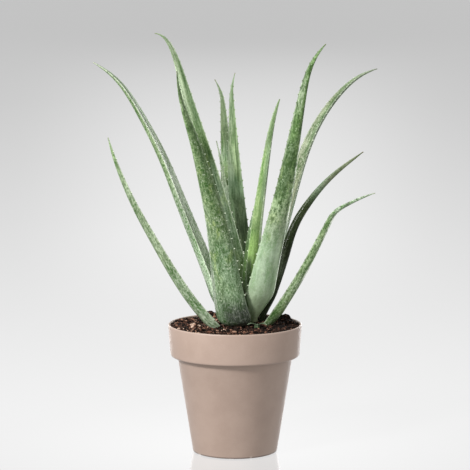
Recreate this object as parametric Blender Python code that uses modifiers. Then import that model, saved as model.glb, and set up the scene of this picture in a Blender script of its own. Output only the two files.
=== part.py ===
"""A potted aloe vera: a rosette of toothed leaves on a short stem, rooted in potting soil in a tapered pot.

Metres, +Z up. The origin is the centre of the pot's underside, on the surface that the pot stands on.
+X is to the right of the plant's front view and +Y points away from the viewer.
"""

import math
from collections import namedtuple

import bmesh
import bpy
from mathutils import Vector, noise

MM = 0.001
GAP = 0.4 * MM  # free space between pieces that touch

# The pot, a thin moulded shell with a heavy collar.
POT_HEIGHT = 115.7 * MM
RIM_RADIUS = 60.0 * MM
COLLAR_HEIGHT = 28.5 * MM
COLLAR_FOOT_RADIUS = 58.0 * MM
BODY_TOP_RADIUS = 51.6 * MM
FOOT_RADIUS = 38.1 * MM
POT_WALL = 2.0 * MM
FLOOR_THICKNESS = 2.4 * MM
FOOT_RING_WIDTH = 6.0 * MM
FOOT_DISC_RADIUS = 13.0 * MM
UNDERSIDE_RECESS = 3.0 * MM
POT_SEGMENTS = 48
DRAIN_HOLES = 6
DRAIN_HOLE_RADIUS = 3.5 * MM
DRAIN_CIRCLE_RADIUS = 22.5 * MM

# The soil, which fills the pot to just under its lip and is heaped round the plant.
SOIL_BELOW_LIP = 1.4 * MM
SOIL_HEAP_HEIGHT = 5.0 * MM
SOIL_HEAP_RADIUS = 36.0 * MM
SOIL_RINGS = 9
SOIL_SEGMENTS = 44
SOIL_LUMP_SIZE = 7.0 * MM
SOIL_LUMP_HEIGHT = 2.4 * MM
SOIL_LEVEL = POT_HEIGHT - SOIL_BELOW_LIP

# The plant stands a little to the right of the pot's axis and behind it.
PLANT_X = 9.0 * MM
PLANT_Y = 4.0 * MM
PLANT_Z = POT_HEIGHT - 1.2 * MM

# The stem's outline from its growing point down: radius and height over the soil round it, in millimetres.
STEM_OUTLINE = (
    (0, 16.5),
    (3, 16),
    (8.2, 10.5),
    (11.4, 4.5),
    (13.5, -3),
    (15, -10),
    (16, -17),
    (12, -24),
    (0, -28),
)
STEM_SEGMENTS = 24

# Where the leaves of each whorl leave the stem, oldest first: distance from its axis and height, in mm.
WHORLS = ((16.0, -13.5), (14.5, -7.5), (12.6, -0.5), (10.6, 5.5), (7.6, 11.5), (3.4, 16.0))

# Angles in degrees, lengths in millimetres. Azimuth 0 points along +X and 90 along +Y, behind the plant.
# A leaf leaves the stem at root_azimuth and leans towards azimuth, which turns by swing up to its tip.
# leans are its angles off the vertical at even steps from root to tip. heel is the share of its width that
# it has at the root, and foot the length over which it widens from there. hook turns its tip sideways.
Leaf = namedtuple(
    "Leaf",
    "name whorl root_azimuth azimuth swing leans length width heel depth channel taper hook foot",
)

# Three leaves bend more sharply than the others: one at its tip, and two partway up.
LEAF_04_LEANS = (15, 17, 18, 20, 23, 23, 24, 25, 25, 24, 26, 43, 88)
LEAF_10_LEANS = (9, 16, 20, 20, 19, 18, 25, 34, 39, 45, 51, 56, 58)
LEAF_11_LEANS = (38, 39, 37, 35, 34, 33, 32, 31, 30, 29, 28, 28, 28, 30, 50, 63, 66, 71, 75)

LEAVES = (
    Leaf("leaf_01", 0, 222, 203, 0, (41, 42, 34, 31.5, 29.5, 24, 18), 222, 17, 0.5, 8.8, 2.5, 0.6, 0, 34),
    Leaf("leaf_02", 2, 175, 164, 0, (17, 22, 24, 23, 29, 36.5, 65), 273, 25, 0.4, 10.5, 3.5, 0.65, 0, 34),
    Leaf("leaf_03", 2, 240, 240, 0, (32, 17, 19, 25, 28, 32, 12), 257, 36, 0.62, 13, 4.5, 1.1, 0, 14),
    Leaf("leaf_04", 3, 95, 132, 0, LEAF_04_LEANS, 288, 34, 0.4, 9.5, 4.5, 0.85, 0, 34),
    Leaf("leaf_05", 0, 112, 96, 5, (38, 32, 28, 25, 22, 22, 38), 257, 27, 0.4, 8.5, 3, 0.8, 19, 34),
    Leaf("leaf_06", 1, 74, 103.5, -9, (32, 28, 27, 25, 23, 20, 17), 251, 28, 0.4, 8.5, 4, 0.85, -16, 34),
    Leaf("leaf_07", 5, 330, 36, 0, (5, 6, 8, 10, 11, 14, 25), 190, 17, 0.5, 7, 2.5, 0.5, 0, 34),
    Leaf("leaf_08", 3, 306, 305, 0, (24, 20, 22, 18, 17, 22.5, 59), 276, 32, 0.2, 12, 4, 0.95, 0, 34),
    Leaf("leaf_09", 3, 58, 50, 0, (30, 28, 26, 28.5, 46.5, 63.5, 84.5), 302, 18, 0.4, 9.5, 3.5, 0.75, 0, 34),
    Leaf("leaf_10", 2, 6, 8, 0, LEAF_10_LEANS, 188, 19, 0.4, 9.5, 3, 0.7, 0, 34),
    Leaf("leaf_11", 1, 308, 342, 0, LEAF_11_LEANS, 177, 14, 0.5, 9, 2.5, 0.5, 0, 34),
    Leaf("leaf_12", 2, 127, 93, 24, (32, 28, 23, 22, 22, 24, 30), 176, 12, 0.4, 4.5, 2, 0.8, 0, 34),
    Leaf("leaf_13", 4, 82, 66, 0, (4, 5, 8, 12, 18, 24, 28), 106, 15, 0.4, 5.5, 2, 0.85, 0, 34),
)

# The little offset at the plant's foot: three leaves from one point, each as azimuth, lean and length.
PUP_X = 19.5 * MM
PUP_Y = -18.5 * MM
PUP_LEAVES = ((212, 66, 14), (335, 68, 14), (275, 52, 10))

LEAF_STATIONS = 16
PUP_STATIONS = 6
SECTION_POINTS = 10
LEAF_CURVE_STEPS = 96
HEEL_DEPTH_SHARE = 0.42
DEPTH_TAPER = 0.55
TIP_WIDTH = 0.9 * MM
HOOK_START = 0.88  # share of a leaf's length from which its tip turns sideways
LEAST_THICKNESS = 0.9 * MM

TOOTH_HEIGHT = 1.7 * MM
TOOTH_RADIUS = 1.0 * MM
TOOTH_SINK = 1.2 * MM
TOOTH_SPACING = 15.0 * MM
FIRST_TOOTH = 30.0 * MM
TIP_WITHOUT_TEETH = 16.0 * MM
TOOTH_FORWARD_LEAN = 25  # degrees towards the leaf's tip

POT_COLOUR = (0.42, 0.31, 0.255)
SOIL_COLOUR = (0.055, 0.028, 0.018)
STEM_COLOUR = (0.36, 0.33, 0.2)
OLD_LEAF_COLOUR = (0.13, 0.24, 0.12)
YOUNG_LEAF_COLOUR = (0.24, 0.4, 0.12)


def smooth_step(x):
    """0 below 0, 1 above 1 and an even S between them."""
    x = min(max(x, 0.0), 1.0)
    return x * x * (3 - 2 * x)


def along(values, share):
    """The value at a share of the way through evenly spaced values, on one smooth curve through them."""
    place = min(max(share, 0.0), 1.0) * (len(values) - 1)
    i = min(int(place), len(values) - 2)
    t = place - i
    before = values[max(i - 1, 0)]
    start = values[i]
    end = values[i + 1]
    after = values[min(i + 2, len(values) - 1)]
    slope_in = (end - before) / 2
    slope_out = (after - start) / 2
    return (
        start * (2 * t**3 - 3 * t**2 + 1)
        + slope_in * (t**3 - 2 * t**2 + t)
        + end * (3 * t**2 - 2 * t**3)
        + slope_out * (t**3 - t**2)
    )


def leaf_root(leaf):
    """Where the leaf's centre line leaves the stem."""
    radius, height = WHORLS[leaf.whorl]
    turn = math.radians(leaf.root_azimuth)
    centre = Vector((PLANT_X, PLANT_Y, PLANT_Z))
    return centre + MM * Vector((radius * math.cos(turn), radius * math.sin(turn), height))


def leaf_frame(leaf, share):
    """The leaf's directions at a share of its length: sideways, out of its upper face, and along it."""
    turn = math.radians(leaf.azimuth + leaf.swing * share)
    lean = math.radians(along(leaf.leans, share))
    outward = Vector((math.cos(turn), math.sin(turn), 0))
    rising = outward * math.sin(lean) + Vector((0, 0, math.cos(lean)))
    sideways = Vector((-math.sin(turn), math.cos(turn), 0))
    bend = math.radians(leaf.hook) * smooth_step((share - HOOK_START) / (1 - HOOK_START))
    ahead = rising * math.cos(bend) + sideways * math.sin(bend)
    across = sideways * math.cos(bend) - rising * math.sin(bend)
    return across, ahead.cross(across), ahead


def leaf_line(leaf, root=None):
    """Points of the leaf's centre line at even steps, walked from its root."""
    step = leaf.length * MM / LEAF_CURVE_STEPS
    points = [root or leaf_root(leaf)]
    for i in range(LEAF_CURVE_STEPS):
        points.append(points[-1] + leaf_frame(leaf, (i + 0.5) / LEAF_CURVE_STEPS)[2] * step)
    return points


def leaf_size(leaf, share):
    """Half width, depth below the margins and depth of the channel at a share of the leaf's length."""
    heel = smooth_step(share * leaf.length / leaf.foot)
    rest = 1 - share
    half_width = leaf.width / 2 * (leaf.heel + (1 - leaf.heel) * heel) * rest**leaf.taper
    heel_depth = HEEL_DEPTH_SHARE + (1 - HEEL_DEPTH_SHARE) * heel
    channel = leaf.channel * heel_depth * rest**1.3
    depth = leaf.depth * heel_depth * rest**DEPTH_TAPER
    half_width = max(half_width * MM, TIP_WIDTH / 2)
    return half_width, max(depth * MM, channel * MM + LEAST_THICKNESS), channel * MM


def leaf_section(leaf, share, point, grow=0.0):
    """The ring of points round the leaf at a share of its length: its lower face, then its upper."""
    across, upper, _ = leaf_frame(leaf, share)
    half_width, depth, channel = leaf_size(leaf, share)
    ring = []
    for i in range(SECTION_POINTS):
        angle = 2 * math.pi * i / SECTION_POINTS - math.pi / 2
        below = math.cos(angle)
        if below > 0.01:
            height = -(depth + grow) * below
        else:
            height = grow - channel * abs(below) ** 1.4
        ring.append(point + across * (half_width + grow) * math.sin(angle) + upper * height)
    return ring


def station_shares(count):
    """Shares of a leaf's length at which it has a ring, closer together at the root and near the tip."""
    return [i / count - 0.35 * math.sin(2 * math.pi * i / count) / (2 * math.pi) for i in range(count + 1)]


def skin(rings):
    """A closed mesh through rings of equal numbers of points, with flat ends."""
    mesh = bmesh.new()
    loops = [[mesh.verts.new(point) for point in ring] for ring in rings]
    for low, high in zip(loops, loops[1:]):
        for i in range(len(low)):
            j = (i + 1) % len(low)
            mesh.faces.new((low[i], low[j], high[j], high[i]))
    mesh.faces.new(reversed(loops[0]))
    mesh.faces.new(loops[-1])
    return mesh


def leaf_mesh(leaf, grow=0.0, root=None, stations=LEAF_STATIONS):
    """The leaf's blade without its teeth, made thicker all round by grow."""
    line = leaf_line(leaf, root)
    rings = []
    for share in station_shares(stations):
        step = round(share * LEAF_CURVE_STEPS)
        rings.append(leaf_section(leaf, step / LEAF_CURVE_STEPS, line[step], grow))
    back = leaf_frame(leaf, 0)[2] * -grow
    rings[0] = [point + back for point in rings[0]]
    return skin(rings)


def tooth_places(leaf):
    """Lengths along the leaf at which each margin has a tooth, closer together towards the tip."""
    places = []
    place = FIRST_TOOTH
    while place < leaf.length * MM - TIP_WITHOUT_TEETH:
        places.append(place)
        place += TOOTH_SPACING * (1 - 0.35 * place / (leaf.length * MM))
    return places


def on_margin(leaf, line, share, side):
    """The point of the blade's margin at a share of its length, on the straight edge between two rings."""
    steps = [round(station * LEAF_CURVE_STEPS) for station in station_shares(LEAF_STATIONS)]
    place = share * LEAF_CURVE_STEPS
    after = next(i for i, step in enumerate(steps) if step >= place)
    ends = []
    for step in steps[after - 1 : after + 1]:
        across = leaf_frame(leaf, step / LEAF_CURVE_STEPS)[0]
        ends.append(line[step] + across * side * leaf_size(leaf, step / LEAF_CURVE_STEPS)[0])
    return ends[0].lerp(ends[1], (place - steps[after - 1]) / (steps[after] - steps[after - 1]))


def teeth_mesh(leaf):
    """Three-sided cones along both margins, sunk into the blade."""
    line = leaf_line(leaf)
    mesh = bmesh.new()
    for side in (-1, 1):
        for place in tooth_places(leaf):
            share = (place + side * TOOTH_SPACING / 5) / (leaf.length * MM)
            across, _, ahead = leaf_frame(leaf, share)
            size = 1 - 0.35 * share
            forward = math.radians(TOOTH_FORWARD_LEAN)
            points_to = across * side * math.cos(forward) + ahead * math.sin(forward)
            height = (TOOTH_HEIGHT + TOOTH_SINK) * size
            middle = on_margin(leaf, line, share, side) + points_to * (height / 2 - TOOTH_SINK * size)
            turn = points_to.to_track_quat("Z", "Y").to_matrix().to_4x4()
            turn.translation = middle
            bmesh.ops.create_cone(
                mesh,
                cap_ends=True,
                segments=3,
                radius1=TOOTH_RADIUS * size,
                radius2=0,
                depth=height,
                matrix=turn,
            )
    return mesh


def add_object(name, mesh, collection, material=None, smooth_angle=40):
    """A named object in a collection from a bmesh, which is freed."""
    data = bpy.data.meshes.new(name)
    mesh.to_mesh(data)
    mesh.free()
    if material:
        data.materials.append(material)
        data.shade_smooth()
        data.set_sharp_from_angle(angle=math.radians(smooth_angle))
    made = bpy.data.objects.new(name, data)
    collection.objects.link(made)
    return made


def add_helper(name, mesh, collection):
    """A cutter or other helper, which is no part of the plant."""
    helper = add_object(name, mesh, collection)
    helper.hide_render = True
    helper.display_type = "WIRE"
    return helper


def join(target, other, operation, solver="MANIFOLD"):
    """Adds a Boolean modifier that joins other to target or cuts it away."""
    boolean = target.modifiers.new(operation.title() + " " + other.name, "BOOLEAN")
    boolean.operation = operation
    boolean.solver = solver
    boolean.object = other


def add_material(name, colour, roughness):
    """A plain shader of one colour."""
    material = bpy.data.materials.new(name)
    material.use_nodes = True
    shader = material.node_tree.nodes["Principled BSDF"]
    shader.inputs["Base Color"].default_value = (*colour, 1)
    shader.inputs["Roughness"].default_value = roughness
    shader.inputs["Metallic"].default_value = 0
    return material


def turned(name, outline, segments, collection, material):
    """A solid turned about the vertical axis from (radius, height) points that run down its outer side."""
    mesh = bmesh.new()
    corners = [mesh.verts.new((radius, 0, height)) for radius, height in outline]
    for upper, lower in zip(corners, corners[1:]):
        mesh.edges.new((upper, lower))
    if outline[0][0] > 0:
        mesh.edges.new((corners[-1], corners[0]))
    made = add_object(name, mesh, collection, material)
    made.data.shade_smooth()
    screw = made.modifiers.new("Turn", "SCREW")
    screw.steps = segments
    screw.render_steps = segments
    screw.use_merge_vertices = True
    screw.merge_threshold = 0.00005
    return made


def add_pot(collection, helpers):
    """The pot: a tapered wall, a heavy collar with a rounded lower edge, and a floor with drain holes."""
    collar_foot = POT_HEIGHT - COLLAR_HEIGHT
    lip = 0.8 * MM
    roll = 2.0 * MM
    under = collar_foot - 0.6 * MM
    inner_foot = FOOT_RADIUS - POT_WALL
    recess_outer = FOOT_RADIUS - FOOT_RING_WIDTH
    outline = [
        (RIM_RADIUS - lip, POT_HEIGHT),
        (RIM_RADIUS, POT_HEIGHT - lip),
        (COLLAR_FOOT_RADIUS, collar_foot + roll),
        (COLLAR_FOOT_RADIUS - 0.6 * MM, collar_foot + 0.6 * MM),
        (COLLAR_FOOT_RADIUS - roll, collar_foot),
        (BODY_TOP_RADIUS, under),
        (FOOT_RADIUS, 1.2 * MM),
        (FOOT_RADIUS - 0.8 * MM, 0),
        (recess_outer, 0),
        (recess_outer - 1.0 * MM, UNDERSIDE_RECESS),
        (FOOT_DISC_RADIUS + 1.0 * MM, UNDERSIDE_RECESS),
        (FOOT_DISC_RADIUS, 0),
        (0, 0),
    ]
    inside = [
        (0, UNDERSIDE_RECESS + FLOOR_THICKNESS),
        (inner_foot, UNDERSIDE_RECESS + FLOOR_THICKNESS),
        (BODY_TOP_RADIUS - POT_WALL, collar_foot + POT_WALL),
        (COLLAR_FOOT_RADIUS - POT_WALL, collar_foot + POT_WALL + 1.0 * MM),
        (RIM_RADIUS - POT_WALL, POT_HEIGHT - lip),
        (RIM_RADIUS - POT_WALL + lip, POT_HEIGHT),
    ]
    pot = turned("pot", outline + inside, POT_SEGMENTS, collection, add_material("pot", POT_COLOUR, 0.6))
    drill = bmesh.new()
    for i in range(DRAIN_HOLES):
        turn = 2 * math.pi * i / DRAIN_HOLES
        hole = bmesh.ops.create_cone(
            drill,
            cap_ends=True,
            segments=12,
            radius1=DRAIN_HOLE_RADIUS,
            radius2=DRAIN_HOLE_RADIUS,
            depth=4 * FLOOR_THICKNESS,
        )
        place = Vector((math.cos(turn), math.sin(turn), 0)) * DRAIN_CIRCLE_RADIUS
        place.z = UNDERSIDE_RECESS + FLOOR_THICKNESS / 2
        bmesh.ops.translate(drill, verts=hole["verts"], vec=place)
    join(pot, add_helper("drain_hole_drills", drill, helpers), "DIFFERENCE")
    return pot


def soil_height(x, y):
    """The height of the soil's lumpy surface at a point."""
    away = math.hypot(x - PLANT_X, y - PLANT_Y)
    heap = SOIL_HEAP_HEIGHT * (1 - smooth_step(away / SOIL_HEAP_RADIUS))
    lumps = noise.noise(Vector((x, y, 0)) / SOIL_LUMP_SIZE)
    lumps += 0.5 * noise.noise(Vector((x, y, 1)) / SOIL_LUMP_SIZE * 2)
    at_wall = smooth_step((RIM_RADIUS - math.hypot(x, y)) / (12 * MM))
    return SOIL_LEVEL + heap * 0.6 + SOIL_LUMP_HEIGHT * lumps * (0.3 + 0.7 * at_wall)


def add_soil(collection, cutters):
    """The soil: the pot's inside with a heaped, lumpy top, and holes for the stem and the buried leaves."""
    collar_foot = POT_HEIGHT - COLLAR_HEIGHT
    floor = UNDERSIDE_RECESS + FLOOR_THICKNESS + GAP
    walls = (
        (RIM_RADIUS - POT_WALL - 2 * GAP, SOIL_LEVEL - 4 * MM),
        (COLLAR_FOOT_RADIUS - POT_WALL - 2 * GAP, collar_foot + POT_WALL + 2.0 * MM),
        (BODY_TOP_RADIUS - POT_WALL - 2 * GAP, collar_foot + POT_WALL + 1.2 * MM),
        (FOOT_RADIUS - POT_WALL - 2 * GAP, floor),
    )
    top_radius = RIM_RADIUS - POT_WALL - 2 * GAP
    rings = []
    for radius, height in reversed(walls):
        rings.append([(radius, turn, height) for turn in range(SOIL_SEGMENTS)])
    for i in range(SOIL_RINGS):
        radius = top_radius * (1 - i / SOIL_RINGS)
        rings.append([(radius, turn, None) for turn in range(SOIL_SEGMENTS)])
    points = []
    for ring in rings:
        placed = []
        for radius, turn, height in ring:
            angle = 2 * math.pi * turn / SOIL_SEGMENTS
            x = radius * math.cos(angle)
            y = radius * math.sin(angle)
            placed.append(Vector((x, y, soil_height(x, y) if height is None else height)))
        points.append(placed)
    soil = add_object("soil", skin(points), collection, add_material("soil", SOIL_COLOUR, 0.95), 180)
    for cutter in cutters:
        join(soil, cutter, "DIFFERENCE")
    return soil


def turned_stem(name, grow, collection, material=None):
    """The stem's turned shape, made thicker all round by grow."""
    outline = []
    for radius, height in STEM_OUTLINE:
        outward = grow if radius else 0
        upward = grow if height > -10 else -grow
        outline.append((radius * MM + outward, PLANT_Z + height * MM + upward))
    stem = turned(name, outline, STEM_SEGMENTS, collection, material)
    stem.location = (PLANT_X, PLANT_Y, 0)
    return stem


def add_stem(collection, seats):
    """The short thick stem, with a seat for the foot of each leaf."""
    stem = turned_stem("stem", 0, collection, add_material("stem", STEM_COLOUR, 0.8))
    for seat in seats:
        join(stem, seat, "DIFFERENCE")
    return stem


def add_leaf(leaf, collection, helpers):
    """One leaf with its marginal teeth."""
    youth = leaf.whorl / (len(WHORLS) - 1)
    colour = [old + (young - old) * youth for old, young in zip(OLD_LEAF_COLOUR, YOUNG_LEAF_COLOUR)]
    made = add_object(leaf.name, leaf_mesh(leaf), collection, add_material(leaf.name, colour, 0.5))
    teeth = add_helper(leaf.name + "_teeth", teeth_mesh(leaf), helpers)
    join(made, teeth, "UNION")
    return made


def pup_blades(grow=0.0):
    """The offset's three small leaves, which meet at its foot."""
    root = Vector((PUP_X, PUP_Y, SOIL_LEVEL - 0.5 * MM))
    for azimuth, lean, length in PUP_LEAVES:
        leans = (0, lean, lean + 50)
        blade = Leaf("pup", 0, 0, azimuth, 0, leans, length, 5.5, 0.9, 2.4, 0.4, 0.7, 0, 34)
        yield leaf_mesh(blade, grow, root, PUP_STATIONS)


def add_pup(collection, helpers):
    """The little offset at the plant's foot, its leaves grown together."""
    first, *others = pup_blades()
    pup = add_object("pup", first, collection, add_material("pup", YOUNG_LEAF_COLOUR, 0.5))
    for number, other in enumerate(others, 2):
        join(pup, add_helper(f"pup_leaf_{number}", other, helpers), "UNION")


def add_collection(name):
    """A collection in the scene."""
    collection = bpy.data.collections.new(name)
    bpy.context.scene.collection.children.link(collection)
    return collection


def main():
    """Clears the scene and builds the potted plant."""
    for old in list(bpy.data.objects):
        bpy.data.objects.remove(old)
    plant = add_collection("potted_aloe_vera")
    helpers = add_collection("cutters_and_teeth")
    add_pot(plant, helpers)
    seats = [add_helper(leaf.name + "_seat", leaf_mesh(leaf, GAP), helpers) for leaf in LEAVES]
    add_stem(plant, seats)
    stem_hole = turned_stem("stem_hole", GAP, helpers)
    stem_hole.hide_render = True
    stem_hole.display_type = "WIRE"
    pup_seats = [add_helper("pup_seat", blade, helpers) for blade in pup_blades(GAP)]
    add_soil(plant, [stem_hole, *seats, *pup_seats])
    for leaf in LEAVES:
        add_leaf(leaf, plant, helpers)
    add_pup(plant, helpers)


main()
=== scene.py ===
"""Looks of the potted aloe vera: leaves with flecked waxy skins, crumbly soil and a matte moulded pot."""

import math
import random
from collections import namedtuple
from functools import cache

import bmesh
import bpy
from mathutils import Matrix, Vector, noise


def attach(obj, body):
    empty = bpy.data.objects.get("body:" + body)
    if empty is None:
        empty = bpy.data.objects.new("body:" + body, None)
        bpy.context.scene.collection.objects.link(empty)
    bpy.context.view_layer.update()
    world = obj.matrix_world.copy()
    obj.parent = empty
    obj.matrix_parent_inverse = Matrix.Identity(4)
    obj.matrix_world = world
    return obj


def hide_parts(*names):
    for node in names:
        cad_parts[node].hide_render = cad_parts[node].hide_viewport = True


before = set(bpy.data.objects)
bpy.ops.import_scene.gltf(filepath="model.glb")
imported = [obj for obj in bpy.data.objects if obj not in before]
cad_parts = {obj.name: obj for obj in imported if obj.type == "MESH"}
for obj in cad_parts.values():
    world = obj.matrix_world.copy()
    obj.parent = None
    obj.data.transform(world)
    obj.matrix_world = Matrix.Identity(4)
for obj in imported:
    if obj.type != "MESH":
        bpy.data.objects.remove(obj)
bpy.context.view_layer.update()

MM = 0.001

# The plant's axis, the pot's height and the stem's whorls are those of the solids. A whorl is the radius and
# the height, in millimetres, at which its leaves leave the stem.
PLANT_X = 9.0 * MM
PLANT_Y = 4.0 * MM
POT_HEIGHT = 115.7 * MM
SOIL_LEVEL = POT_HEIGHT - 1.4 * MM
PLANT_Z = POT_HEIGHT - 1.2 * MM
WHORLS = ((16.0, -13.5), (14.5, -7.5), (12.6, -0.5), (10.6, 5.5), (7.6, 11.5), (3.4, 16.0))

# A leaf's section, also as in the solids: the share of its depth that it has at the root, the powers that
# shape its depth and its channel, its least width and thickness, and where along it the tip's hook starts.
HEEL_DEPTH_SHARE = 0.42
DEPTH_TAPER = 0.55
CHANNEL_TAPER = 1.3
CHANNEL_SHARPNESS = 1.4
TIP_WIDTH = 0.9 * MM
LEAST_THICKNESS = 0.9 * MM
HOOK_START = 0.88

# Angles in degrees, lengths in millimetres. A leaf leaves the stem at root_azimuth and leans towards
# azimuth, which turns by swing up to its tip. leans are its angles off the vertical at even steps from root
# to tip. heel is the share of its width that it has at the root, and foot the length over which it widens
# from there. depth and channel are how far its lower and its upper face lie below its margins, taper is the
# power that narrows it, and hook turns its tip sideways.
Leaf = namedtuple(
    "Leaf",
    "name whorl root_azimuth azimuth swing leans length width heel depth channel taper hook foot",
)
LEAF_04_LEANS = (15, 17, 18, 20, 23, 23, 24, 25, 25, 24, 26, 43, 88)
LEAF_10_LEANS = (9, 16, 20, 20, 19, 18, 25, 34, 39, 45, 51, 56, 58)
LEAF_11_LEANS = (38, 39, 37, 35, 34, 33, 32, 31, 30, 29, 28, 28, 28, 30, 50, 63, 66, 71, 75)
LEAVES = (
    Leaf("leaf_01", 0, 222, 203, 0, (41, 42, 34, 31.5, 29.5, 24, 18), 222, 17, 0.5, 8.8, 2.5, 0.6, 0, 34),
    Leaf("leaf_02", 2, 175, 164, 0, (17, 22, 24, 23, 29, 36.5, 65), 273, 25, 0.4, 10.5, 3.5, 0.65, 0, 34),
    Leaf("leaf_03", 2, 240, 240, 0, (32, 17, 19, 25, 28, 32, 12), 257, 36, 0.62, 13, 4.5, 1.1, 0, 14),
    Leaf("leaf_04", 3, 95, 132, 0, LEAF_04_LEANS, 288, 34, 0.4, 9.5, 4.5, 0.85, 0, 34),
    Leaf("leaf_05", 0, 112, 96, 5, (38, 32, 28, 25, 22, 22, 38), 257, 27, 0.4, 8.5, 3, 0.8, 19, 34),
    Leaf("leaf_06", 1, 74, 103.5, -9, (32, 28, 27, 25, 23, 20, 17), 251, 28, 0.4, 8.5, 4, 0.85, -16, 34),
    Leaf("leaf_07", 5, 330, 36, 0, (5, 6, 8, 10, 11, 14, 25), 190, 17, 0.5, 7, 2.5, 0.5, 0, 34),
    Leaf("leaf_08", 3, 306, 305, 0, (24, 20, 22, 18, 17, 22.5, 59), 276, 32, 0.2, 12, 4, 0.95, 0, 34),
    Leaf("leaf_09", 3, 58, 50, 0, (30, 28, 26, 28.5, 46.5, 63.5, 84.5), 302, 18, 0.4, 9.5, 3.5, 0.75, 0, 34),
    Leaf("leaf_10", 2, 6, 8, 0, LEAF_10_LEANS, 188, 19, 0.4, 9.5, 3, 0.7, 0, 34),
    Leaf("leaf_11", 1, 308, 342, 0, LEAF_11_LEANS, 177, 14, 0.5, 9, 2.5, 0.5, 0, 34),
    Leaf("leaf_12", 2, 127, 93, 24, (32, 28, 23, 22, 22, 24, 30), 176, 12, 0.4, 4.5, 2, 0.8, 0, 34),
    Leaf("leaf_13", 4, 82, 66, 0, (4, 5, 8, 12, 18, 24, 28), 106, 15, 0.4, 5.5, 2, 0.85, 0, 34),
)

# The offset at the plant's foot: its root, each leaflet's azimuth, lean and length, and what they share.
PUP_ROOT = Vector((19.5 * MM, -18.5 * MM, SOIL_LEVEL - 0.5 * MM))
PUP_LEAVES = ((212, 66, 14), (335, 68, 14), (275, 52, 10))
PUP_BEND = 50
PUP_LEAFLET = dict(width=6.6, heel=0.9, depth=2.4, channel=0.4, taper=0.7, hook=0, foot=34)
PUP_SEED = 20

# How finely a leaf's skin is drawn, in millimetres. Its rings stand closer together towards its tip.
# RIM_ANGLES are degrees round the leaf from a margin to the middle of a face.
LEAF_LINE_STEPS = 480
RING_SPACING = 2.2
TIP_SPACING_SHARE = 0.3
TIP_SPACING_LENGTH = 30.0
LEAST_RING_GAP = 0.12
LAST_RING_GAP = 0.6
RIM_ANGLES = (0, 2.5, 6, 11, 18, 27, 38, 50, 63, 76, 90)

# Faint waves in the skin, which die out where the leaf is narrow.
SKIN_WAVE = 0.25 * MM
SKIN_WAVE_HALF_WIDTH = 6.0 * MM
SKIN_WAVE_LENGTH = 34.0

# The teeth on the margins, in millimetres. Towards the leaf's tip they are smaller and closer together by
# TOOTH_SHRINKING. TOOTH_SWEEP is how far a tooth leans towards that tip, as a share of its height.
TOOTH_HEIGHT = 1.9
TOOTH_HALF_BASE = 1.25
TOOTH_HALF_THICKNESS = 1.0
TOOTH_SHARPNESS = 1.5
TOOTH_SWEEP = 0.35
TOOTH_SPACING = 10.5
TOOTH_SHRINKING = 0.3
TOOTH_SIZES = (0.75, 1.15)
TOOTH_GAPS = (0.75, 1.25)
FIRST_TOOTH = 26.0
TIP_WITHOUT_TEETH = 12.0
TOOTH_RINGS = (-1.0, -0.5, -0.2, 0.0, 0.25, 0.6, 1.0)

# What a skin's material reads on the leaf's points. leaf_share is the place across from -1 to 1, the share
# of the length, and 1 on the upper face. leaf_place is in millimetres: across, along, and in from the
# margin. leaf_tooth is how far up a tooth the point lies.
LEAF_LAYERS = ("leaf_share", "leaf_place", "leaf_tooth")

# Greens of the leaves, from the darkest to the palest.
BLACK_GREEN = (0.02, 0.026, 0.012)
# Painted shade where leaf_03's foot meets the soil.
FOOT_SHADE = (0.04, 0.045, 0.036)
NIGHT_GREEN = (0.045, 0.058, 0.025)
DEEP_GREEN = (0.042, 0.075, 0.022)
SHADE_GREEN = (0.075, 0.125, 0.048)
# The blue-grey of leaf_03's foot, darkened by painted shade.
FOOT_BLUE = (0.096, 0.11, 0.09)
GRASS_GREEN = (0.095, 0.155, 0.055)
MOSS_GREEN = (0.11, 0.19, 0.06)
CLOUDY_GREEN = (0.13, 0.18, 0.11)
LEAF_GREEN = (0.14, 0.215, 0.105)
OLIVE = (0.175, 0.21, 0.115)
BLUE_GREEN = (0.135, 0.235, 0.11)
YOUNG_GREEN = (0.165, 0.255, 0.095)
DULL_GREEN = (0.21, 0.23, 0.15)
MID_GREEN = (0.18, 0.25, 0.125)
BLUE_SAGE = (0.19, 0.27, 0.16)
FRESH_GREEN = (0.2, 0.29, 0.13)
SAGE = (0.245, 0.31, 0.19)
SOFT_SAGE = (0.29, 0.36, 0.245)
BRIGHT_GREEN = (0.28, 0.38, 0.19)
ASH = (0.33, 0.375, 0.3)
YOUNG_SAGE = (0.31, 0.42, 0.19)
LIME = (0.29, 0.46, 0.135)
PALE_SAGE = (0.34, 0.44, 0.295)
PALEST_SAGE = (0.42, 0.51, 0.375)
GREY = (0.47, 0.53, 0.43)
MINT = (0.5, 0.61, 0.4)
# A painted highlight along the leaves' lit contours.
PAINTED_HIGHLIGHT = (0.88, 0.94, 0.8)

# Marks on the skins. The mottles' colour also darkens the bands of painted shade inside the margins.
MOTTLE_AND_SHADE_COLOUR = (0.034, 0.082, 0.014)
DARK_TINT = (0.22, 0.44, 0.14)
BLOOM_COLOUR = (0.5, 0.58, 0.46)
WARM_COLOUR = (0.27, 0.35, 0.11)
FLECK_COLOUR = (0.48, 0.57, 0.4)
RIM_COLOUR = (0.72, 0.78, 0.62)
TOOTH_COLOUR = (0.76, 0.81, 0.64)
DRY_BROWN = (0.22, 0.15, 0.09)
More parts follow.
